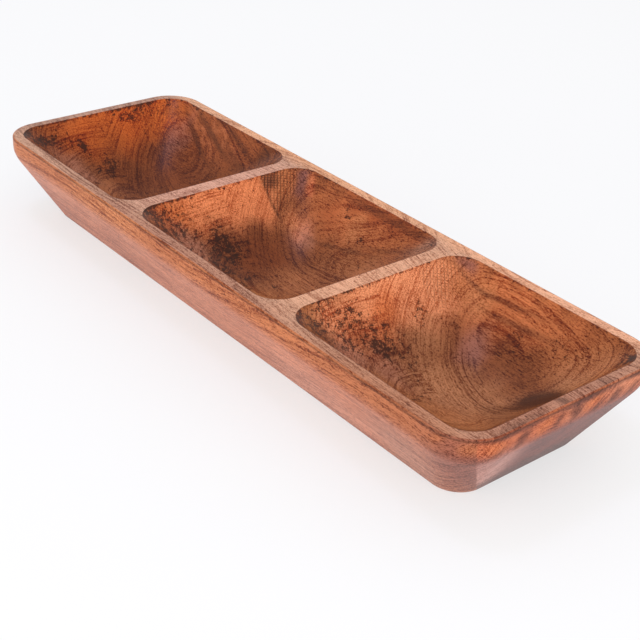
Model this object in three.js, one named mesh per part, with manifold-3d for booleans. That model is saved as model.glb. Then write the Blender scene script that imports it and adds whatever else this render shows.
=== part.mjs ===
// Three-compartment wooden snack dish, in millimetres, +Z up.
// The origin is the middle of the flat base. +X runs along the dish and -Y faces its front long side.
// The dish is a block of four full-length staves, edge-glued on upright planes, with three bowls cut in.
import * as THREE from "three";
import { mergeVertices } from "three/addons/utils/BufferGeometryUtils.js";
import Module from "manifold-3d";

const wasm = await Module();
wasm.setup();

// Whole dish
const rimLength = 380;
const rimWidth = 123;
const dishHeight = 46.5;
const rimCornerRadius = 20;
const bandHeight = 10; // upright band below the rim, above the sloping sides
const endInset = 21.5; // how far the base lies in from the rim at each end
const sideInset = 21; // and at each long side
const baseCornerRadius = 14;
const rimBevel = 0.8; // eased outer edge of the rim
const baseBevel = 1; // eased edge round the base

// Bowls
const bowlCount = 3;
const endRim = 6; // flat rim beyond the first and last bowl
const sideRim = 6.6; // flat rim along the long sides
const divider = 9.2; // flat top between two bowls
const floorThickness = 9; // wood left under the deepest point of a bowl
const wallExponent = 2.16; // wall profile: depth falls with this power of the distance from the centre
const cornerExponent = 0.7; // how fast a level curve of a bowl turns from rounded square to circle

// Staves, whose widths run across the rim; the inner front stave fills what the others leave
const rearStaveWidth = 35.5;
const innerRearStaveWidth = 27;
const frontStaveWidth = 25.5;

// Facets
const cornerSteps = 8; // chords in each quarter turn
const bowlRings = 12; // level curves in each bowl
const cutOverrun = 5; // how far a cutting solid reaches past what it cuts

const rimHalfLength = rimLength / 2;
const rimHalfWidth = rimWidth / 2;
const bandBottom = dishHeight - bandHeight;

// Points of a rounded rectangle at one height, anticlockwise seen from above.
function roundedRectangle(halfLength, halfWidth, radius, z) {
  const corners = [[1, 1], [-1, 1], [-1, -1], [1, -1]];
  return corners.flatMap(([signX, signY], quarter) =>
    Array.from({ length: cornerSteps + 1 }, (_, step) => {
      const angle = (Math.PI / 2) * (quarter + step / cornerSteps);
      return new THREE.Vector3(
        signX * (halfLength - radius) + radius * Math.cos(angle),
        signY * (halfWidth - radius) + radius * Math.sin(angle),
        z,
      );
    }),
  );
}

// Closed solid through a stack of rings round the Z axis, lowest first, with a fan at each end.
// The middle of the lower fan can dip to a height of its own.
function loft(rings, lowestZ = rings[0][0].z) {
  const count = rings[0].length;
  const points = rings.flat();
  const faces = [];
  for (let level = 1; level < rings.length; level++) {
    const below = (level - 1) * count;
    const above = level * count;
    for (let i = 0; i < count; i++) {
      const j = (i + 1) % count;
      faces.push(below + i, below + j, above + j, below + i, above + j, above + i);
    }
  }
  const addFan = (start, middleZ, upwards) => {
    const hub = points.length;
    points.push(new THREE.Vector3(0, 0, middleZ));
    for (let i = 0; i < count; i++) {
      const j = (i + 1) % count;
      faces.push(hub, start + (upwards ? i : j), start + (upwards ? j : i));
    }
  };
  addFan(0, lowestZ, false);
  addFan((rings.length - 1) * count, rings.at(-1)[0].z, true);
  const geometry = new THREE.BufferGeometry().setFromPoints(points);
  return solidOf(geometry.setIndex(faces));
}

// A closed geometry as a solid that can be cut and joined.
function solidOf(geometry) {
  geometry.deleteAttribute("normal");
  geometry.deleteAttribute("uv");
  const merged = mergeVertices(geometry);
  return new wasm.Manifold(
    new wasm.Mesh({
      numProp: 3,
      vertProperties: merged.getAttribute("position").array,
      triVerts: new Uint32Array(merged.index.array),
    }),
  );
}

// A solid as a geometry to draw, with flat facets.
function geometryOf(solid) {
  const mesh = solid.getMesh();
  const indexed = new THREE.BufferGeometry();
  indexed.setAttribute("position", new THREE.BufferAttribute(mesh.vertProperties, mesh.numProp));
  indexed.setIndex(new THREE.BufferAttribute(mesh.triVerts, 1));
  const geometry = indexed.toNonIndexed();
  geometry.computeVertexNormals();
  return geometry;
}

// Outside of the dish: base, straight sloping sides, upright band and flat rim, with both edges eased.
function dishBlock() {
  // The side at a height below the band, from the base outline to the band outline.
  const slopeRing = (z, bevel) => {
    const inwardShare = 1 - z / bandBottom;
    return roundedRectangle(
      rimHalfLength - endInset * inwardShare - bevel,
      rimHalfWidth - sideInset * inwardShare - bevel,
      THREE.MathUtils.lerp(rimCornerRadius, baseCornerRadius, inwardShare) - bevel,
      z,
    );
  };
  const bandRing = (z, bevel) =>
    roundedRectangle(rimHalfLength - bevel, rimHalfWidth - bevel, rimCornerRadius - bevel, z);
  return loft([
    slopeRing(0, baseBevel),
    slopeRing(baseBevel, 0),
    bandRing(bandBottom, 0),
    bandRing(dishHeight - rimBevel, 0),
    bandRing(dishHeight, rimBevel),
  ]);
}

const bowlLength = (rimLength - 2 * endRim - (bowlCount - 1) * divider) / bowlCount;
const bowlWidth = rimWidth - 2 * sideRim;
const bowlDepth = dishHeight - floorThickness;
const bowlHalfNarrow = Math.min(bowlLength, bowlWidth) / 2;
const bowlCornerRadius = rimCornerRadius - (endRim + sideRim) / 2;

// Level curve of a bowl: a rounded rectangle of the given share of the bowl's plan size.
// Its depth is bowlDepth * (1 - share ^ wallExponent), and its corners grow rounder towards the floor.
function bowlRing(share) {
  const cornerShare = bowlCornerRadius / bowlHalfNarrow;
  const roundShare = cornerShare + (1 - cornerShare) * (1 - share) ** cornerExponent;
  const z = dishHeight - bowlDepth * (1 - share ** wallExponent);
  return roundedRectangle(
    (share * bowlLength) / 2,
    (share * bowlWidth) / 2,
    share * bowlHalfNarrow * roundShare,
    z,
  );
}

// The solid that a bowl takes out of the block, standing a little proud of the rim.
function bowlCutter() {
  const rings = Array.from({ length: bowlRings }, (_, ring) => bowlRing((ring + 1) / bowlRings));
  const mouth = rings.at(-1).map((point) => point.clone().setZ(dishHeight + cutOverrun));
  return loft([...rings, mouth], floorThickness);
}

// A stave's full-length slab between two upright planes, to cut its piece out of the dish.
function slab(lowY, highY) {
  const box = new THREE.BoxGeometry(
    rimLength + 2 * cutOverrun,
    highY - lowY,
    dishHeight + 2 * cutOverrun,
  );
  return solidOf(box.translate(0, (lowY + highY) / 2, dishHeight / 2));
}

const rearGlueLine = rimHalfWidth - rearStaveWidth;
const middleGlueLine = rearGlueLine - innerRearStaveWidth;
const frontGlueLine = frontStaveWidth - rimHalfWidth;
const beyondRim = rimHalfWidth + cutOverrun;

const staves = [
  { name: "rear_stave", lowY: rearGlueLine, highY: beyondRim, color: "#b1673f" },
  { name: "inner_rear_stave", lowY: middleGlueLine, highY: rearGlueLine, color: "#b9713f" },
  { name: "inner_front_stave", lowY: frontGlueLine, highY: middleGlueLine, color: "#bd7648" },
  { name: "front_stave", lowY: -beyondRim, highY: frontGlueLine, color: "#a86644" },
];

let carvedDish = dishBlock();
const cutter = geometryOf(bowlCutter());
for (let bowl = 0; bowl < bowlCount; bowl++) {
  const centreX = (bowl - (bowlCount - 1) / 2) * (bowlLength + divider);
  carvedDish = carvedDish.subtract(solidOf(cutter.clone().translate(centreX, 0, 0)));
}

const dish = new THREE.Group();
dish.name = "three_compartment_dish";
for (const { name, lowY, highY, color } of staves) {
  const oiledWood = new THREE.MeshStandardMaterial({ color, roughness: 0.45, metalness: 0 });
  const stave = new THREE.Mesh(geometryOf(carvedDish.intersect(slab(lowY, highY))), oiledWood);
  stave.name = name;
  dish.add(stave);
}

export default dish;
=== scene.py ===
# Three-compartment snack dish: four edge-glued staves of oiled wood, with three bowls in a row
import functools
import math
import bpy
import bmesh
import numpy as np
from mathutils import Matrix, Vector
from mathutils.geometry import delaunay_2d_cdt


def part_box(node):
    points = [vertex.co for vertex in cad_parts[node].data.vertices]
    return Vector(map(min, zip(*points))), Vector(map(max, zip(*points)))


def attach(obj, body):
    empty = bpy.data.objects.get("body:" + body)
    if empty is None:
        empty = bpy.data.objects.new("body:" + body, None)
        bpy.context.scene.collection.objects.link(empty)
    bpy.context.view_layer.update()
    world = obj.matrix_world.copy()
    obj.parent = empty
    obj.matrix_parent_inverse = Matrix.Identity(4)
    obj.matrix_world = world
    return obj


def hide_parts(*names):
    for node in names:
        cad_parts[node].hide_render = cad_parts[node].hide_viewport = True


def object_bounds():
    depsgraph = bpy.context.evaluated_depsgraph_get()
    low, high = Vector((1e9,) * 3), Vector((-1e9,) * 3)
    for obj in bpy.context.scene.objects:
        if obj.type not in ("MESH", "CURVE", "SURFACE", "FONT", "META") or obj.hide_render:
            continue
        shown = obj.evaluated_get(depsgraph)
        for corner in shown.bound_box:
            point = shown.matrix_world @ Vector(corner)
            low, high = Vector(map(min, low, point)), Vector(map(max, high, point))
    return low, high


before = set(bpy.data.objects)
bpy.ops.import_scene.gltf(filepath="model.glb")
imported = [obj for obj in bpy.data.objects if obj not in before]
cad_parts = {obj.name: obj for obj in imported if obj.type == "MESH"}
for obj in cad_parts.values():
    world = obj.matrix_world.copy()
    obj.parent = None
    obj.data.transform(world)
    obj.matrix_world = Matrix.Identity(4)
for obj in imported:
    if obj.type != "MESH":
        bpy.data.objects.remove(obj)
cadLow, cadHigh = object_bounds()
mm = 0.001

# The camera, measured from the photograph, in mm and degrees
camera = {
    "azimuth": 49.22,
    "elevation": 30.16,
    "roll": 3.42,
    "distance": 658.0,
    "target": (20.4, 7.1, 0.0),
    "focalPixels": 1281.4,
    "imagePixels": 640,
    "sensor": 36.0,
    "nearest": 10.0,
    "farthest": 20000.0,
}


def makeCamera(c):
    a, e, r = (math.radians(c[k]) for k in ("azimuth", "elevation", "roll"))
    back = Vector((math.sin(a) * math.cos(e), -math.cos(a) * math.cos(e), math.sin(e)))
    right = Vector((math.cos(a), math.sin(a), 0))
    up = back.cross(right)
    x = math.cos(r) * right + math.sin(r) * up
    y = math.cos(r) * up - math.sin(r) * right
    data = bpy.data.cameras.new("camera")
    data.sensor_width = c["sensor"]
    data.lens = c["focalPixels"] / c["imagePixels"] * c["sensor"]
    data.clip_start = c["nearest"] * mm
    data.clip_end = c["farthest"] * mm
    view = bpy.data.objects.new("camera", data)
    place = (Vector(c["target"]) + back * c["distance"]) * mm
    view.matrix_world = Matrix(((*x, 0), (*y, 0), (*back, 0), (*place, 1))).transposed()
    bpy.context.collection.objects.link(view)
    bpy.context.scene.camera = view


makeCamera(camera)
print("camera placed")

# The block, in mm. The outer sizes come from the frame, the rest repeats the carving's own sizes.
block = {
    "length": (cadHigh[0] - cadLow[0]) / mm,
    "width": (cadHigh[1] - cadLow[1]) / mm,
    "height": (cadHigh[2] - cadLow[2]) / mm,
    "cornerRadius": 20.0,
    "band": 10.0,  # upright band below the rim
    "endInset": 21.5,  # how far the base lies in from the rim at each end
    "sideInset": 21.0,  # and at each long side
    "baseRadius": 14.0,
    "rimRound": 0.9,
    "bandRound": 16.0,  # bend between the band and the slope
    "baseRound": 1.2,
    "flatEdge": 0.4,  # level strip inside the rounded edge of the rim
    "cornerPoints": 40,
    "sidePoints": 60,
    "roundSteps": 6,
    "straightSteps": 16,
    "weld": 1e-6,  # points of the flat rim that are nearer than this count as one
}

# The bowls, in mm
bowls = {
    "count": 3,
    "endRim": 6.0,
    "sideRim": 6.6,
    "divider": 9.2,
    "floor": 9.0,  # wood left under the deepest point
    "wallPower": 2.16,
    "cornerPower": 0.7,
    "lipRound": 0.8,
    "lipSteps": 5,
    "flatEdge": 0.4,
    "rings": 84,
    "ripple": 0.12,
    "ripplePitch": 34.0,
    "rippleFade": 0.12,  # share of the bowl's plan size over which the ripple dies out at the lip
    # turns per pitch along x and y, start, and how much each wave bends
    "rippleWaves": ((1.0, 0.0, 0.0, 1.3), (0.5, 0.8, 2.0, 0.0), (1.02, -1.36, 0.7, 0.0)),
    "rippleBendTurns": 0.7,
}


def roundedOutline(halfLength, halfWidth, radius, z, b):
    # Rounded rectangles: quarter circles about the four corner centres, joined by straight runs,
    # for arrays of half sizes, radii and heights at once. The result is rings by points by 3.
    sizes = (halfLength, halfWidth, radius, z)
    hl, hw, r, z = (np.atleast_1d(np.asarray(size, float))[:, None] for size in sizes)
    quarterTurn = math.pi / 2
    turn = np.linspace(0, quarterTurn, b["cornerPoints"])
    run = np.linspace(0, 1, b["sidePoints"] + 2)[1:-1, None]
    corners = []
    for quarter, (signX, signY) in enumerate(((1, 1), (-1, 1), (-1, -1), (1, -1))):
        angle = turn + quarter * quarterTurn
        cornerX = signX * (hl - r) + r * np.cos(angle)
        cornerY = signY * (hw - r) + r * np.sin(angle)
        corners.append(np.stack([cornerX, cornerY], -1))
    rows = []
    for corner, following in zip(corners, corners[1:] + corners[:1]):
        rows += [corner, corner[:, -1:] + (following[:, :1] - corner[:, -1:]) * run]
    flat = np.concatenate(rows, 1)
    return np.dstack([flat, np.broadcast_to(z, flat.shape[:2])])


def ripple(points, s):
    # A slow waviness left by hand sanding: the mean of plane sine waves. With k one turn per
    # pitch, each is sin(k * (turnsX * x + turnsY * y) + start + bend * sin(k * bendTurns * y)).
    x, y = points[..., 0], points[..., 1]
    k = 2 * math.pi / s["ripplePitch"]
    sway = np.sin(k * s["rippleBendTurns"] * y)
    waves = [np.sin(k * (turnsX * x + turnsY * y) + start + bend * sway)
             for turnsX, turnsY, start, bend in s["rippleWaves"]]
    return s["ripple"] * sum(waves) / len(waves)


def bowlRings(b, s, centre):
    # Level curves from the lip down to the floor. A share t of the bowl's plan size lies at depth
    # full depth * (1 - t ^ wallPower), and the corners turn round as (1 - t) ^ cornerPower.
    # The lip is a small arc that leaves the flat rim level and meets the wall along its slope.
    mouths = b["length"] - 2 * s["endRim"] - (s["count"] - 1) * s["divider"]
    halfLength = mouths / s["count"] / 2
    halfWidth = b["width"] / 2 - s["sideRim"]
    depth = b["height"] - s["floor"]
    narrow = min(halfLength, halfWidth)
    cornerShare = (b["cornerRadius"] - (s["endRim"] + s["sideRim"]) / 2) / narrow
    slope = math.atan(depth * s["wallPower"] / narrow)
    arc = np.linspace(0, slope, s["lipSteps"])
    reach = s["lipRound"] * math.tan(slope / 2)
    lipIn = np.insert(s["lipRound"] * np.sin(arc) - reach, 0, -reach - s["flatEdge"])
    lipDrop = np.insert(s["lipRound"] * (1 - np.cos(arc)), 0, 0)
    lip = roundedOutline(halfLength - lipIn, halfWidth - lipIn, cornerShare * narrow - lipIn,
                         b["height"] - lipDrop, b)
    t = (1 - lipIn[-1] / narrow) * np.linspace(1, 0, s["rings"] + 1)[1:-1]
    roundShare = cornerShare + (1 - cornerShare) * (1 - np.clip(t, 0, 1)) ** s["cornerPower"]
    wall = roundedOutline(t * halfLength, t * halfWidth, t * narrow * roundShare,
                          b["height"] - depth * (1 - t ** s["wallPower"]), b)
    fade = np.clip((1 - t) / s["rippleFade"], 0, 1)[:, None]
    wall[..., 2] += ripple(wall + (centre, 0, 0), s) * fade
    rings = np.concatenate([lip, wall])
    rings[..., 0] += centre
    return rings, np.array([centre, 0, b["height"] - depth])


def blockRings(b):
    # The outside from the rim down to the base. The profile is a run of insets and heights along
    # the rim, the upright band, the straight slope and the base, with a small arc at each of its
    # three corners. Each of its points gives one ring.
    bandLow = b["height"] - b["band"]
    mean = (b["endInset"] + b["sideInset"]) / 2
    top = b["height"]
    sharp = np.array([(mean, top), (0, top), (0, bandLow), (mean, 0), (2 * mean, 0)])
    profile = []
    for i, radius in enumerate((b["rimRound"], b["bandRound"], b["baseRound"]), 1):
        before = (sharp[i - 1] - sharp[i]) / np.linalg.norm(sharp[i - 1] - sharp[i])
        after = (sharp[i + 1] - sharp[i]) / np.linalg.norm(sharp[i + 1] - sharp[i])
        halfAngle = math.acos(float(np.clip(before @ after, -1, 1))) / 2
        between = (before + after) / np.linalg.norm(before + after)
        middle = sharp[i] + between * radius / math.sin(halfAngle)
        bend = np.linspace(0, 1, b["roundSteps"])[:, None]
        reach = radius / math.tan(halfAngle)
        chord = sharp[i] + ((1 - bend) * before + bend * after) * reach - middle
        arc = middle + chord / np.linalg.norm(chord, axis=1)[:, None] * radius
        if profile:
            steps = np.linspace(0, 1, b["straightSteps"])[1:-1, None]
            profile.append(profile[-1][-1] * (1 - steps) + arc[0] * steps)
        profile.append(arc)
    inset, z = np.vstack([profile[0][:1] + (b["flatEdge"], 0)] + profile).T
    below = np.clip(1 - z / bandLow, 0, 1)
    radius = b["cornerRadius"] + (b["baseRadius"] - b["cornerRadius"]) * below
    # rim and band draw in by the same inset all round, the slope by its share of each side's own
    onBand = z > bandLow
    endIn = np.where(onBand, inset, inset / mean * b["endInset"])
    sideIn = np.where(onBand, inset, inset / mean * b["sideInset"])
    radius -= np.where(onBand, inset, 0)
    return roundedOutline(b["length"] / 2 - endIn, b["width"] / 2 - sideIn, radius, z, b)


def stripFaces(rings, points, first, outward):
    # Quads between neighbouring rings, turned so that they face outward
    i, j = np.meshgrid(np.arange(rings - 1), np.arange(points), indexing="ij")
    k = (j + 1) % points
    upper, lower = i * points, (i + 1) * points
    quads = np.stack([upper + j, lower + j, lower + k, upper + k], -1).reshape(-1, 4) + first
    return quads if outward else quads[:, ::-1]


def dishMesh(b, s):
    # The closed surface of the whole block: outside, base, bowls, and the flat rim between them.
    # The attribute "carved" is 1 in the bowls.
    pitch = (b["length"] - 2 * s["endRim"] + s["divider"]) / s["count"]
    outside = blockRings(b)
    points = outside.shape[1]
    turn = np.arange(points)
    first = outside.size // 3
    places = [outside.reshape(-1, 3)]
    carved = [np.zeros(first)]
    faces = stripFaces(len(outside), points, 0, True).tolist()
    faces.append((first - 1 - turn).tolist())
    rims = [turn]
    for i in range(s["count"]):
        rings, lowest = bowlRings(b, s, (i - (s["count"] - 1) / 2) * pitch)
        places += [rings.reshape(-1, 3), lowest[None]]
        carved.append(np.ones(rings.size // 3 + 1))
        faces += stripFaces(len(rings), points, first, False).tolist()
        rims.append(first + turn)
        hub = first + rings.size // 3
        inner = hub - points
        fan = [inner + turn, inner + (turn + 1) % points, np.full(points, hub)]
        faces += np.stack(fan, -1).tolist()
        first = hub + 1
    places = np.vstack(places) * mm

    # the flat rim: triangles between the outer edge and the bowls' mouths, but not across a mouth
    rims = np.concatenate(rims)
    index = np.arange(len(rims))
    edges = np.stack([index, index - index % points + (index + 1) % points], -1)
    flat = places[rims, :2]
    made = delaunay_2d_cdt(flat.tolist(), edges.tolist(), [], 0, b["weld"] * mm)
    triangles = np.array(made[2])
    loops = triangles // points
    onRim = (loops.min(1) != loops.max(1)) | (loops.max(1) == 0)
    faces += rims[triangles[onRim]].tolist()

    mesh = bpy.data.meshes.new("block")
    mesh.from_pydata(places.tolist(), [], faces)
    attribute = mesh.attributes.new("carved", "FLOAT", "POINT")
    attribute.data.foreach_set("value", np.concatenate(carved))
    return mesh


# How the block is sawn into staves, in mm and degrees
sawing = {
    "snap": 1e-4,  # points nearer than this to a cut lie on it
    "beside": 0.1,  # a plane nearer than this to the block's own side cuts nothing
    "sharpFrom": 30.0,
}


def cutStave(name, whole, low, high, s):
    # The part of the block between two upright planes, closed where it was sawn
    bm = bmesh.new()
    bm.from_mesh(whole)
    for y, side in ((low, -1), (high, 1)):
        if abs(y) < cadHigh[1] - s["beside"] * mm:
            geometry = bm.verts[:] + bm.edges[:] + bm.faces[:]
            cut = bmesh.ops.bisect_plane(bm, geom=geometry, dist=s["snap"] * mm, plane_co=(0, y, 0),
                                         plane_no=(0, side, 0), clear_outer=True)
            sawn = [e for e in cut["geom_cut"] if isinstance(e, bmesh.types.BMEdge)]
            bmesh.ops.edgeloop_fill(bm, edges=sawn)
    bmesh.ops.recalc_face_normals(bm, faces=bm.faces[:])
    print(name, len(bm.faces), "faces,", sum(not e.is_manifold for e in bm.edges), "open edges")
    mesh = bpy.data.meshes.new(name)
    bm.to_mesh(mesh)
    bm.free()
    mesh.shade_smooth()
    mesh.set_sharp_from_angle(angle=math.radians(s["sharpFrom"]))
    stave = bpy.data.objects.new(name, mesh)
    bpy.context.collection.objects.link(stave)
    return stave


whole = dishMesh(block, bowls)
staves = {}
for node in ("rear_stave", "inner_rear_stave", "inner_front_stave", "front_stave"):
    nodeLow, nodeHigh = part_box(node)
    stave = cutStave(node + "_wood", whole, nodeLow[1], nodeHigh[1], sawing)
    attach(stave, "root")
    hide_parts(node)
    staves[node] = stave
bpy.data.meshes.remove(whole)
print("staves cut")


def linearColour(code):
    # sRGB hex to linear light
    parts = [int(code[i:i + 2], 16) / 255 for i in (1, 3, 5)]
    return [p / 12.92 if p <= 0.04045 else ((p + 0.055) / 1.055) ** 2.4 for p in parts] + [1]


def addNode(tree, kind, inputs=None, **settings):
    # One node with its settings. Each input is a fixed value or the socket that feeds it.
    node = tree.nodes.new("ShaderNode" + kind)
    for key, value in settings.items():
        setattr(node, key, value)
    for key, value in (inputs or {}).items():
        if isinstance(value, bpy.types.NodeSocket):
            tree.links.new(value, node.inputs[key])
        else:
            node.inputs[key].default_value = value
    return node.outputs


def newMaterial(name):
    material = bpy.data.materials.new(name)
    material.use_nodes = True
    material.node_tree.nodes.clear()
    return material, material.node_tree


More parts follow.
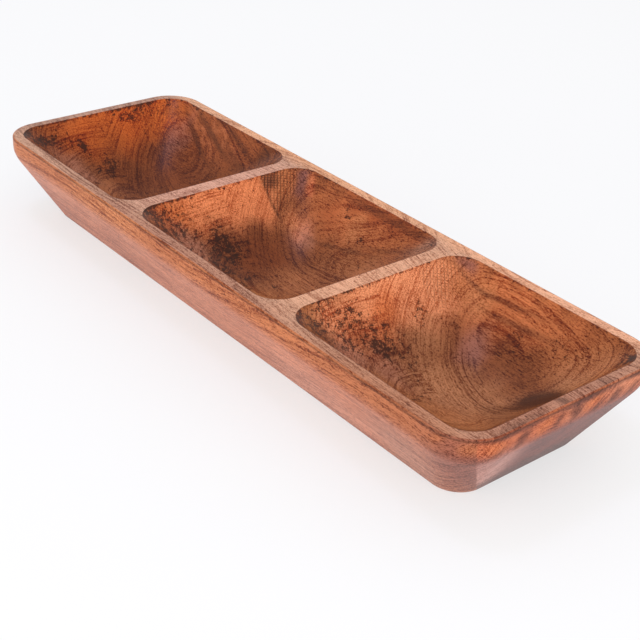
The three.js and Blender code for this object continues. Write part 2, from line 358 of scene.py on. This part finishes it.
# How the oil and the cutter coloured the dish, and where sheen, reflection and shade are painted
# into it, as noted at each colour. Each patch is x, y, half length and half width in mm, turn in
# degrees, and strength. On the long sides x and z stand in for x and y, and on the end sides y and
# z do.
figure = {
    "rim": {
        "ground": "#b78a70",
        "tints": {
            "#c5907a": ((-63, 0, 10, 60, 0, 1.0),),
            "#d09776": ((63, 0, 10, 60, 0, 0.9),),
            "#d89e7d": ((130, 60, 90, 7, 0, 1.0),),
            "#d59a72": ((-60, 60, 150, 7, 0, 1.0),),
            "#a8725a": ((-15, -60, 95, 6, 0, 0.9),),
            "#a26a4d": ((150, -60, 70, 7, 0, 1.0),),
            "#a57a66": ((-187, 0, 9, 70, 0, 0.9),),
            "#a16c55": ((187, -10, 9, 70, 0, 0.9),),
            "#5a3628": (
                (187, -4, 6, 2.5, 20, 0.8), (188, 22, 4, 4, 0, 0.5), (189, -30, 3, 12, 0, 0.5),
            ),
        },
    },
    "long": {
        # the ground is the slope's colour: paler and pinker than the band's tint, partly the wood's
        # own and partly painted reflection of the bright floor in the oil
        "ground": "#b36f50",
        "tints": {
            "#a8653f": ((0, 42, 500, 8, 0, 1.0),),
            "#b6744a": ((-80, 42, 34, 7, 0, 0.9),),
            "#a66247": ((-165, 10, 40, 20, 0, 0.8),),
            # pale greyish patches low on the slope: painted reflection of the bright floor
            "#b87e66": ((84, 9, 38, 13, 0, 0.8),),
            "#a06f5b": ((146, 12, 24, 20, 0, 0.8),),
            "#985a3a": ((152, 43, 56, 7, 0, 0.9),),
            "#744338": ((184, 20, 20, 40, 0, 0.9),),
            "#9c5c3a": ((185, 42, 4, 3, 30, 0.7), (172, 43, 5, 2, 30, 0.7)),
        },
    },
    "end": {
        "ground": "#6f382d",
        "tints": {
            # painted highlight: a pale grey-mauve patch on the slope towards -y, where the oil
            # mirrors the bright floor
            "#ae7d70": ((-38, 14, 16, 30, 0, 0.9),),
            "#a45b3c": ((0, 43, 120, 8, 0, 1.0),),
            "#b57455": ((34, 43, 15, 6, 0, 0.8), (2, 42, 10, 5, 0, 0.6)),
            "#b0643b": ((-16, 42, 7, 3, 40, 0.8), (14, 43, 8, 3, 40, 0.8), (-44, 41, 6, 4, 0, 0.6)),
            "#643526": (
                (-30, 40, 6, 3, 40, 1.0), (2, 41, 4, 4, 50, 0.9), (27, 39, 5, 3, 40, 0.9),
                (50, 42, 5, 4, 30, 0.8), (-9, 40, 5, 1.8, 45, 0.8), (16, 38, 5, 1.6, 40, 0.8),
                (-44, 37, 6, 1.8, 30, 0.7), (38, 39, 5, 1.8, 40, 0.7), (0, 36.5, 60, 1.2, 0, 0.2),
            ),
            # painted shade: darker along the base, where the oil mirrors the shadow under the
            # overhang
            "#54332c": ((20, 3, 70, 7, 0, 0.8),),
            "#5a2f24": (
                (-34, 45, 20, 1.4, 0, 0.8), (8, 44.8, 18, 1.7, 0, 0.9), (42, 45.2, 13, 1.3, 0, 0.8),
            ),
        },
    },
    "bowl": {
        "ground": "#7d4322",
        "tints": {
            "#ca774b": (
                (-54, -6, 12, 36, 0, 1.0), (-52, 20, 11, 14, 0, 0.9), (-30, 33, 7, 6, 0, 0.8),
            ),
            "#d0845b": (
                (73, 4, 13, 36, 0, 1.0), (76, 32, 14, 18, 0, 0.9), (76, -34, 8, 12, 0, 0.8),
            ),
            "#b65821": (
                (-178, 8, 14, 42, 0, 1.0), (-176, 44, 14, 12, 0, 0.7), (-160, 46, 9, 6, 0, 0.5),
                (84, -18, 10, 16, 0, 0.4), (-52, -34, 8, 10, 0, 0.5), (77, -1, 7, 9, 0, 0.6),
            ),
            "#8c4419": (
                (-176, 0, 9, 11, 0, 0.45), (-176, 31, 8, 9, 0, 0.2), (-175, 48, 10, 5, 20, 0.6),
            ),
            "#b0643a": (
                (2, 47, 44, 10, 0, 0.8), (118, 48, 42, 9, 0, 0.9), (-14, 40, 24, 9, 0, 0.3),
                (97, 42, 22, 12, 0, 0.7),
            ),
            "#8a4723": ((-125, 48, 45, 9, 0, 0.9), (-140, 30, 24, 14, 0, 0.7)),
            "#8a3f1c": ((13, 52.5, 31, 4, 0, 0.7), (-20, 45, 7, 5, 0, 0.5)),
            "#74391a": (
                (-29, 6, 11, 14, 0, 0.8), (-22, 8, 14, 12, 0, 0.4), (-30, -8, 12, 12, 0, 0.4),
                (-150, 2, 20, 24, 0, 0.5), (-132, 24, 20, 10, 0, 0.5), (-161, 30, 6, 8, 0, 0.8),
            ),
            "#a6653e": (
                (0, 7, 15, 16, 0, 0.9), (22, 30, 24, 9, 0, 0.8), (160, 38, 18, 9, 0, 0.9),
                (-118, -2, 16, 14, 0, 0.4), (-145, -17, 11, 9, 0, 0.6),
            ),
            "#b0754f": (
                (128, 4, 34, 17, 0, 0.85), (104, -5, 16, 12, 0, 0.3), (163, 32, 9, 8, 0, 0.9),
                (90, 14, 8, 9, 0, 0.4),
            ),
            # painted reflection: a pale pinkish-grey gloss in the middle bowl's corner towards +x
            # and +y
            "#a87f6a": ((51, 46, 9, 8, 0, 0.4),),
            "#b37248": (
                (136, -12, 28, 9, 0, 0.8), (0, -15, 13, 8, 0, 0.9), (104, -24, 16, 10, 0, 0.6),
                (2, 44, 8, 5, 0, 0.5), (91, 45, 9, 8, 0, 0.6), (170, 44, 12, 8, 0, 0.5),
            ),
            "#8a4f26": ((175, -44, 11, 10, 0, 0.8), (76, -45, 9, 9, 0, 0.8)),
            "#b0745a": (
                (-36, -33, 12, 9, 20, 0.8), (-160, -30, 11, 8, 20, 0.7), (90, -32, 10, 8, 0, 0.7),
                (-12, -38, 20, 6, 0, 0.4), (-20, 30, 7, 5, 0, 0.4), (97, -16, 12, 7, 0, 0.6),
            ),
            "#b46a40": ((-53, 40, 9, 13, 0, 0.8),),
            "#c4784c": ((-34, 31, 8, 6, 0, 0.7),),
            "#a9603a": ((-142, 47, 22, 1.3, -16, 0.6), (-126, 50, 22, 1.3, -12, 0.6)),
            # painted reflection: mauve streaks at the top of the back-left corners of the middle
            # bowl and of the bowl towards +x
            "#7d493c": ((-48.2, 46.7, 8, 3.3, -62, 1.0), (76, 51, 6, 3, -20, 0.8)),
            "#bd6b45": ((-41.5, 49, 5, 3.2, -40, 0.8),),
            # painted sheen: pale lilac spots low in the back-left corner valley of each bowl, on
            # top of the overhead lamp's own reflection
            "#9d675a": (
                (-28, 30, 5, 8, 0, 0.3), (107, 29, 8, 10, 0, 0.4), (-159, 41, 7, 11, 30, 0.4),
            ),
        },
        "scorch": (
            (-38, -11, 9, 8, 0, 0.58), (-36, 0, 12, 9, 0, 0.4), (-43, -19, 7, 9, -30, 0.42),
            (-53, -46, 7, 11, 0, 0.45), (-55, -28, 4, 9, 0, 0.35), (-46, -36, 9, 10, 0, 0.4),
            (-24, -16, 17, 10, 0, 0.7), (-28, -33, 22, 11, 0, 0.62), (-25, -47, 28, 6, 0, 0.9),
            (8, 41, 5, 3.5, 0, 0.8), (-9, 49, 4, 3, 0, 0.7), (0, 42, 3, 2, 0, 0.6),
            (40, 46, 9, 4, 20, 0.45), (54, 50, 3, 4, 0, 0.6), (-8, -1, 3, 3, 0, 0.6),
            (20, 34, 20, 4, 0, 0.35), (95, -2, 12, 12, 0, 0.62), (84, -7, 8, 7, 0, 0.5),
            (90, -13, 6, 5, 20, 0.6), (84, -18, 8, 9, 30, 0.6), (82, -31, 6, 6, 0, 0.65),
            (77, -45, 9, 8, 0, 0.75), (74, -26, 6, 12, -20, 0.55), (81, 17, 4, 4, 0, 0.7),
            (114, -12, 10, 6, 0, 0.5), (98, -38, 22, 12, 0, 0.45), (120, 40, 7, 2, 0, 0.7),
            (126, 36, 5, 2, 0, 0.7), (94, 28, 7, 2, 0, 0.5), (150, 44, 12, 5, 0, 0.4),
            (181, 48, 4, 6, 0, 1.1), (177, 36, 3, 4, 0, 0.6), (73, -8, 6, 34, 0, 0.2),
            (-54, 0, 6, 40, 0, 0.16), (-172, -18, 4, 5, 0, 1.1), (-161, -9, 8, 8, 0, 0.9),
            (-176, -44, 6, 9, 0, 1.05), (-177, -28, 5, 12, 0, 0.6), (-181, 22, 4, 24, 0, 0.85),
            (-154, -28, 16, 9, 0, 0.45), (-150, -46, 20, 6, 0, 0.5), (-172, 30, 6, 12, 0, 0.35),
        ),
        "stain": (
            (157.5, 22, 10, 5, 8, 1.4), (152, 16, 7, 5, 10, 0.7), (144, 9, 9, 4, 20, 0.35),
            (152, 3, 10, 4, 0, 0.25), (16, 53, 34, 1.5, 0, 0.5), (-88, 51, 6, 4, 0, 0.6),
            (120, 44, 22, 1.2, 3, 0.5), (100, 48, 30, 1.0, 3, 0.5), (-104, 44, 26, 1.4, -14, 0.4),
            (-147, 44.5, 22, 1.3, -19, 0.5), (-136, 48.5, 23, 1.2, -14, 0.5),
            (-122, 46, 23, 1.2, -14, 0.3), (-114, 51.5, 22, 1.1, -11, 0.5),
            (0, 36, 30, 1.0, 10, 0.4), (30, 44, 24, 1.2, 10, 0.4),
            (-56, 31, 3, 6, 0, 0.6), (-48, 26.7, 9, 0.8, 0, 0.6),
        ),
        "hatch": (
            (-54, 36, 9, 16, 0, 1.0), (-44, 31, 6, 7, 0, 0.6), (74, 38, 9, 13, 0, 0.7),
            (-176, 40, 8, 13, 0, 0.5),
        ),
        "hatchFrom": 26.0,  # the glue line that the crossed fleck stops at
    },
    "strongest": 1.3,  # what patches that overlap add up to at most
    "flush": 0.01,  # how far a point may lie off the rim or a glue line and still belong to it
    "endStart": 5.0,  # how far past the middle of a corner the end side begins, at the rim
    "endStartMore": 7.0,  # and how much more at the base
    # the bowls' lips are scorched, and more so on the half of each bowl towards -x
    "lip": {"depth": 1.2, "all": 0.2, "left": 0.5, "leftOver": 30.0, "bowlPitch": 125.7},
    # a dark line follows the edge just below the rim outside
    "edge": {"depth": 0.9, "half": 0.5, "strength": 0.7},
    # how far, and over what length, the patches' borders wander
    "wander": {"reach": 1.6, "pitch": 21.0, "bend": 2.0, "turns": (1.0, 0.6, 1.3, 0.7)},
}


def patches(u, v, spots, strongest):
    # The sum of humps strength * exp(-r ^ 3), one for each patch, held to the strongest allowed.
    # Here r ^ 2 = p ^ 2 + q ^ 2, with p and q the half lengths and half widths from its middle.
    total = np.zeros_like(u)
    for middleU, middleV, halfLength, halfWidth, turn, strength in spots:
        c, d = math.cos(math.radians(turn)), math.sin(math.radians(turn))
        p = ((u - middleU) * c + (v - middleV) * d) / halfLength
        q = ((v - middleV) * c - (u - middleU) * d) / halfWidth
        total += strength * np.exp(-(p ** 2 + q ** 2) ** 1.5)
    return np.clip(total, 0, strongest)


def paintStave(stave, s, b):
    # Gives the mesh two attributes: its ground colour, and how strong scorch, hatch and stain are;
    # outside, the stain is a dark line just below the rim's edge.
    # In the bowls patches lie by u and v, so that their borders wander. Here u is x + reach *
    # sin(k * turnU * y + bend * sin(k * bendU * x)), and v is the same with x and y exchanged.
    mesh = stave.data
    count = len(mesh.vertices)
    place = np.empty(count * 3)
    mesh.vertices.foreach_get("co", place)
    x, y, z = place.reshape(-1, 3).T / mm
    carved = np.empty(count)
    mesh.attributes["carved"].data.foreach_get("value", carved)

    top = z > b["height"] - s["flush"]
    inside = (carved > 0.5) & ~top
    outside = ~top & ~inside
    pastCorner = (np.abs(x) - b["length"] / 2) - (np.abs(y) - b["width"] / 2)
    onEnd = pastCorner > s["endStart"] + s["endStartMore"] * (1 - z / b["height"])
    w = s["wander"]
    k = 2 * math.pi / w["pitch"]
    turnU, bendU, turnV, bendV = w["turns"]
    u = x + w["reach"] * np.sin(k * turnU * y + w["bend"] * np.sin(k * bendU * x)) * inside
    v = y + w["reach"] * np.sin(k * turnV * x + w["bend"] * np.sin(k * bendV * y)) * inside

    tone = np.zeros((count, 4))
    parts = {
        "rim": (top, x, y),
        "bowl": (inside, u, v),
        "long": (outside & ~onEnd, x, z),
        "end": (outside & onEnd, y, z),
    }
    for part, (where, along, across) in parts.items():
        ground = np.tile(linearColour(s[part]["ground"]), (count, 1))
        for code, spots in s[part]["tints"].items():
            share = np.clip(patches(along, across, spots, s["strongest"]), 0, 1)
            ground += (np.array(linearColour(code)) - ground) * share[:, None]
        tone[where] = ground[where]

    depth = np.maximum(b["height"] - z, 0)
    lip, edge, bowl = s["lip"], s["edge"], s["bowl"]
    fromMiddle = x - lip["bowlPitch"] * np.round(x / lip["bowlPitch"])
    leftness = np.clip(-fromMiddle / lip["leftOver"], 0, 1)
    burntLip = np.exp(-(depth / lip["depth"]) ** 2) * (lip["all"] + lip["left"] * leftness)
    behindGlue = y > bowl["hatchFrom"] - s["flush"]
    scorch = patches(u, v, bowl["scorch"], s["strongest"])
    hatch = np.clip(patches(u, v, bowl["hatch"], s["strongest"]), 0, 1)
    stain = np.clip(patches(x, y, bowl["stain"], s["strongest"]), 0, 1)
    # a dark line just below the rim's edge outside
    edgeLine = edge["strength"] * np.exp(-((depth - edge["depth"]) / edge["half"]) ** 2)
    marks = np.stack([(scorch + burntLip) * inside, hatch * inside * behindGlue,
                      stain * inside + edgeLine * outside], -1)
    mesh.attributes.new("tone", "FLOAT_COLOR", "POINT").data.foreach_set("color", tone.ravel())
    mesh.attributes.new("marks", "FLOAT_VECTOR", "POINT").data.foreach_set("vector", marks.ravel())


# How each stave grew, in mm: the middle of its width, where its heart lay (y and z), the distance
# between rings, how far they drift out per mm along the dish, how they wave (reach, length and
# start), how dark the end of each ring is, and its place in the noise
staveGrain = {
    "rear_stave": {
        "middleY": 44, "heart": (95, -50), "ring": 2.8, "taper": 0.0,
        "wave": (10.3, 324.0, -44.0), "late": 0.65, "seed": 3.0,
    },
    "inner_rear_stave": {
        "middleY": 12, "heart": (98, -55), "ring": 2.2, "taper": -0.05,
        "wave": (6.0, 300.0, 30.0), "late": 0.65, "seed": 11.0,
    },
    "inner_front_stave": {
        "middleY": -18, "heart": (-18, -100), "ring": 2.2, "taper": 0.03,
        "wave": (4.0, 300.0, 60.0), "late": 0.45, "seed": 23.0,
    },
    "front_stave": {
        "middleY": -49, "heart": (40, -25), "ring": 2.6, "taper": -0.03,
        "wave": (3.0, 260.0, 0.0), "late": 0.3, "seed": 31.0,
    },
}

# What makes the wood lighter or darker. Each layer is noise: cells per mm along the grain, across
# the rings and along them; detail and roughness; noise from and to; share of pigment from and to.
woodLayers = {
    "cloud": ((0.03, 0.05, 0.05), 2.0, 0.5, 0.3, 0.7, -0.10, 0.10),
    "broadBand": ((0.010, 0.20, 0.02), 3.0, 0.55, 0.36, 0.64, -0.12, 0.13),
    "ringLine": ((0.016, 1.1, 0.03), 4.0, 0.65, 0.48, 0.62, -0.08, 0.40),
    "fibre": ((0.06, 1.6, 1.6), 4.0, 0.7, 0.36, 0.66, -0.18, 0.32),
    "fine": ((0.9, 2.2, 2.2), 3.0, 0.75, 0.34, 0.66, -0.38, 0.48),
    "pore": ((0.30, 1.7, 1.7), 2.0, 0.6, 0.57, 0.67, -0.04, 0.75),
    "rayFleck": ((0.28, 0.16, 2.2), 1.0, 0.5, 0.60, 0.70, -0.02, 0.30),
}

# What all the staves share, in mm. A span is a value from and to, and what it becomes from and to.
finish = {
    "middleZ": 25.0,  # height at which lengths round the heart are true
    "warp": 7.0,
    "warpScale": (0.010, 0.022, 0.022),
    "unevenScale": 0.35,  # how fast the rings' spacing and darkness change
    "unevenYears": 1.8,
    "latePower": 3.0,  # a year's ring darkens as this power of its age
    "pigment": 0.82,  # before the layers, so that the mean comes to about 1
    "layerShift": 7.0,
    "hatchWarp": 0.25,
    # which way the lines follow each other, their distance and their strength
    "hatchLines": (((0.58, 0.81, 0.0), 1.8, 1.0), ((0.0, 0.2, 1.0), 1.15, 0.75)),
    "hatchSpan": (0.2, 0.95, 0.05, 0.7),
    "brownSpan": (1.25, 2.1, 0.0, 0.5),
    "stainPigment": 0.3,
    "stainBrown": 0.85,
    "brownColour": "#4a2615",
    "heat": 0.7,
    "cool": 0.14,
    # cells per mm, roughness, place in the noise, gain
    "scorchNoise": ((0.38, 0.6, 0.0, 2.2), (1.2, 0.75, 9.0, 2.0)),
    "haloSpan": (0.05, 0.45, 0.0, 0.35),
    "burntSpan": (0.38, 0.62, 0.0, 0.88),
    "scorchColour": "#33170b",
    "palerSpan": (0.5, 1.0, 1.4, 1.0),
    "roughSpan": (0.3, 0.7, 0.30, 0.42),
    "bumpStrength": 0.5,
    "bumpDepth": 0.06,
    "ior": 1.45,
    "specular": 0.2,
}


def oiledBeech(name, s, f):
    # Steamed beech, carved, sanded and oiled: pinkish tan with fine dark ticks along the grain,
    # soft growth rings, ray fleck on the end grain, and brown scorch where the cutter dwelt. More
    # pigment makes it darker and redder at once. The oil leaves a satin skin, which mirrors at a
    # low angle.
    material, tree = newMaterial(name)
    add = functools.partial(addNode, tree)
    spanEnds = ("From Min", "From Max", "To Min", "To Max")
    metres = add("TexCoord")["Object"]
    place = add("VectorMath", {0: metres, "Scale": 1 / mm}, operation="SCALE")[0]
    tone = add("Attribute", attribute_name="tone")["Color"]
    marks = add("Attribute", attribute_name="marks")["Vector"]
    scorch, hatch, stain = add("SeparateXYZ", {0: marks})

    # place in the tree: along the grain, out from the heart and round it, all in mm, and slightly
    # warped over 50 to 100 mm
    heartY, heartZ = s["heart"]
    swing, length, start = s["wave"]
    warpAt = add("Mapping", {0: place, "Scale": f["warpScale"], "Location": (s["seed"], 0, 0)})[0]
    warp = add("TexNoise", {"Vector": warpAt, "Scale": 1.0, "Detail": 2.0})["Color"]
    warp = add("VectorMath", {0: warp, 1: (-0.5, -0.5, -0.5)}, operation="ADD")[0]
    warp = add("VectorMath", {0: warp, "Scale": f["warp"]}, operation="SCALE")[0]
    bent = add("VectorMath", {0: place, 1: warp}, operation="ADD")[0]
    x, y, z = add("SeparateXYZ", {0: bent})
    turns = 2 * math.pi / length
    phase = add("Math", {0: x, 1: turns, 2: -turns * start}, operation="MULTIPLY_ADD")[0]
    wave = add("Math", {0: phase}, operation="COSINE")[0]
    y = add("Math", {0: y, 1: heartY}, operation="SUBTRACT")[0]
    z = add("Math", {0: z, 1: heartZ}, operation="SUBTRACT")[0]
    fromHeart = add("CombineXYZ", {0: 0.0, 1: y, 2: z})[0]
    outward = add("VectorMath", {0: fromHeart}, operation="LENGTH")["Value"]
    outward = add("Math", {0: x, 1: s["taper"], 2: outward}, operation="MULTIPLY_ADD")[0]
    outward = add("Math", {0: wave, 1: swing, 2: outward}, operation="MULTIPLY_ADD")[0]
    angle = add("Math", {0: z, 1: y}, operation="ARCTAN2")[0]
    middle = math.hypot(heartY - s["middleY"], heartZ - f["middleZ"])
    around = add("Math", {0: angle, 1: middle}, operation="MULTIPLY")[0]
    grown = add("CombineXYZ", {0: x, 1: outward, 2: around})[0]

    # pigment: the sharp dark end of each year's ring, less its mean, and the layers
    uneven = add("TexNoise", {"W": outward, "Scale": f["unevenScale"], "Detail": 3.0},
                 noise_dimensions="1D")[0]
    year = add("Math", {0: outward, 1: s["ring"]}, operation="DIVIDE")[0]
    year = add("Math", {0: uneven, 1: f["unevenYears"], 2: year}, operation="MULTIPLY_ADD")[0]
    age = add("Math", {0: year}, operation="FRACT")[0]
    late = add("Math", {0: age, 1: f["latePower"]}, operation="POWER")[0]
    late = add("Math", {0: late, 1: uneven}, operation="MULTIPLY")[0]
    least = f["pigment"] - s["late"] * 0.5 / (f["latePower"] + 1)
    pigment = add("Math", {0: late, 1: s["late"], 2: least}, operation="MULTIPLY_ADD")[0]
    for i, (layer, (scale, detail, rough, *span)) in enumerate(woodLayers.items()):
        shift = (s["seed"] + f["layerShift"] * i, 0, 0)
        at = add("Mapping", {0: grown, "Scale": scale, "Location": shift})[0]
        cells = {"Vector": at, "Scale": 1.0, "Detail": detail, "Roughness": rough}
        noise = add("TexNoise", cells)[0]
        share = add("MapRange", {"Value": noise, **dict(zip(spanEnds, span))},
                    interpolation_type="SMOOTHSTEP")[0]
        pigment = add("Math", {0: pigment, 1: share}, operation="ADD")[0]
        if layer == "fibre":
            fibre = noise

    # fleck where end grain shows in a corner: streaks down the wall, crossed by fainter level ones
    shifted = add("VectorMath", {0: warp, "Scale": f["hatchWarp"]}, operation="SCALE")[0]
    shifted = add("VectorMath", {0: place, 1: shifted}, operation="ADD")[0]
    lines = []
    for direction, period, strength in f["hatchLines"]:
        across = add("VectorMath", {0: shifted, 1: direction}, operation="DOT_PRODUCT")["Value"]
        across = add("Math", {0: across, 1: 2 * math.pi / period}, operation="MULTIPLY")[0]
        line = add("Math", {0: across}, operation="SINE")[0]
        lines.append(add("Math", {0: line, 1: strength}, operation="MULTIPLY")[0])
    weave = add("Math", {0: lines[0], 1: lines[1]}, operation="MAXIMUM")[0]
    weave = add("MapRange", {"Value": weave, **dict(zip(spanEnds, f["hatchSpan"]))})[0]

    # brown: the fleck, the darkest lines, which turn from red to brown, and the stain, which
    # outside is a dark line just below the rim's edge
    pigment = add("Math", {0: stain, 1: f["stainPigment"], 2: pigment}, operation="MULTIPLY_ADD")[0]
    fleck = add("Math", {0: weave, 1: hatch}, operation="MULTIPLY")[0]
    line = add("MapRange", {"Value": pigment, **dict(zip(spanEnds, f["brownSpan"]))})[0]
    brown = add("Math", {0: line, 1: fleck}, operation="ADD")[0]
    brown = add("Math", {0: stain, 1: f["stainBrown"], 2: brown}, operation="MULTIPLY_ADD",
                use_clamp=True)[0]

    # scorch: blots of 2 to 5 mm made of specks under 1 mm, thicker where the patch is stronger,
    # each with a brown halo. The heat is heat * patch - cool, plus gain * (noise - 1/2) for the
    # blots and for the specks.
    coolest = -f["cool"] - sum(gain for *_, gain in f["scorchNoise"]) / 2
    heat = add("Math", {0: scorch, 1: f["heat"], 2: coolest}, operation="MULTIPLY_ADD")[0]
    for scale, rough, shift, gain in f["scorchNoise"]:
        at = add("Mapping", {0: place, "Scale": (scale,) * 3, "Location": (s["seed"], shift, 0)})[0]
        noise = add("TexNoise", {"Vector": at, "Scale": 1.0, "Detail": 3.0, "Roughness": rough})[0]
        heat = add("Math", {0: noise, 1: gain, 2: heat}, operation="MULTIPLY_ADD")[0]
    halo = add("MapRange", {"Value": heat, **dict(zip(spanEnds, f["haloSpan"]))},
               interpolation_type="SMOOTHSTEP")[0]
    burnt = add("MapRange", {"Value": heat, **dict(zip(spanEnds, f["burntSpan"]))},
                interpolation_type="SMOOTHSTEP")[0]

    # colour: pigment over 1 is a power of the ground colour, and below 1 the ground grows paler
    pigment = add("Math", {0: halo, 1: pigment}, operation="ADD")[0]
    power = add("Math", {0: pigment, 1: 1.0}, operation="MAXIMUM")[0]
    paler = add("MapRange", {"Value": pigment, **dict(zip(spanEnds, f["palerSpan"]))})[0]
    wood = add("Gamma", {"Color": tone, "Gamma": power})[0]
    wood = add("VectorMath", {0: wood, "Scale": paler}, operation="SCALE")[0]
    wood = add("Mix", {0: brown, 6: wood, 7: linearColour(f["brownColour"])}, data_type="RGBA")[2]
    wood = add("Mix", {0: burnt, 6: wood, 7: linearColour(f["scorchColour"])}, data_type="RGBA")[2]

    rough = add("MapRange", {"Value": fibre, **dict(zip(spanEnds, f["roughSpan"]))})[0]
    relief = {"Height": fibre, "Strength": f["bumpStrength"], "Distance": f["bumpDepth"] * mm}
    bump = add("Bump", relief)[0]
    shade = add("BsdfPrincipled", {"Base Color": wood, "Roughness": rough, "Normal": bump,
                                   "IOR": f["ior"], "Specular IOR Level": f["specular"]})[0]
    add("OutputMaterial", {"Surface": shade})
    return material


for node, stave in staves.items():
    paintStave(stave, figure, block)
    stave.data.materials.append(oiledBeech(node.replace("stave", "wood"), staveGrain[node], finish))
print("staves oiled")

# Paper floor, sky and lamps, in metres and watts
studio = {
    "floorColour": "#f3f3f5",
    "floorWhite": 0.6,  # share of plain white that the camera and gloss see in the paper
    "floorSize": 6.0,
    "sky": 0.85,
    "skyColour": "#ffffff",
    "aim": (0.0, 0.0, 0.02),
    "lamps": (
        # place, width, height, watts, colour
        ((-0.40, -0.20, 1.50), 0.3, 0.3, 2.5, "#ccd2fc"),
        ((0.10, -1.30, 0.18), 1.8, 0.3, 7.5, "#ffffff"),
        ((1.40, 0.00, 0.18), 1.8, 0.3, 9.0, "#ffffff"),
        ((1.00, -1.00, 0.90), 1.2, 1.2, 4.0, "#ffffff"),
    ),
}


def whitePaper(s):
    # Matt paper: it bounces light and takes a soft shadow as paper does, and to the camera and in
    # gloss it reads as white
    material, tree = newMaterial("paper_floor")
    path = addNode(tree, "LightPath")
    rays = {0: path["Is Camera Ray"], 1: path["Is Glossy Ray"]}
    seen = addNode(tree, "Math", rays, operation="MAXIMUM")[0]
    seen = addNode(tree, "Math", {0: seen, 1: path["Is Transmission Ray"]}, operation="MAXIMUM")[0]
    share = addNode(tree, "Math", {0: seen, 1: s["floorWhite"]}, operation="MULTIPLY")[0]
    paper = addNode(tree, "BsdfDiffuse", {"Color": linearColour(s["floorColour"])})[0]
    white = addNode(tree, "Emission", {"Strength": 1.0})[0]
    both = addNode(tree, "MixShader", {0: share, 1: paper, 2: white})[0]
    addNode(tree, "OutputMaterial", {"Surface": both})
    return material


def makeFloor(s):
    half = s["floorSize"] / 2
    corners = [(-half, -half, 0), (half, -half, 0), (half, half, 0), (-half, half, 0)]
    mesh = bpy.data.meshes.new("floor")
    mesh.from_pydata(corners, [], [(0, 1, 2, 3)])
    mesh.materials.append(whitePaper(s))
    floor = bpy.data.objects.new("floor", mesh)
    bpy.context.collection.objects.link(floor)


def makeSky(s):
    # A plain sky of the given strength, which the camera sees as white
    world = bpy.data.worlds.new("studio")
    bpy.context.scene.world = world
    world.use_nodes = True
    tree = world.node_tree
    tree.nodes.clear()
    path = addNode(tree, "LightPath")
    strengths = {"Value": path["Is Camera Ray"], "To Min": s["sky"], "To Max": 1.0}
    strength = addNode(tree, "MapRange", strengths)[0]
    colour = linearColour(s["skyColour"])
    sky = addNode(tree, "Background", {"Strength": strength, "Color": colour})[0]
    addNode(tree, "OutputWorld", {"Surface": sky})


def makeLamps(s):
    for i, (place, width, height, watts, colour) in enumerate(s["lamps"]):
        data = bpy.data.lights.new(f"softbox_{i}", "AREA")
        data.shape = "RECTANGLE"
        data.size, data.size_y = width, height
        data.energy = watts
        data.color = linearColour(colour)[:3]
        lamp = bpy.data.objects.new(f"softbox_{i}", data)
        lamp.location = place
        lamp.rotation_euler = (Vector(s["aim"]) - Vector(place)).to_track_quat("-Z", "Y").to_euler()
        bpy.context.collection.objects.link(lamp)


makeFloor(studio)
makeSky(studio)
makeLamps(studio)
bpy.context.scene.view_settings.view_transform = "Standard"
print("floor and lights placed")
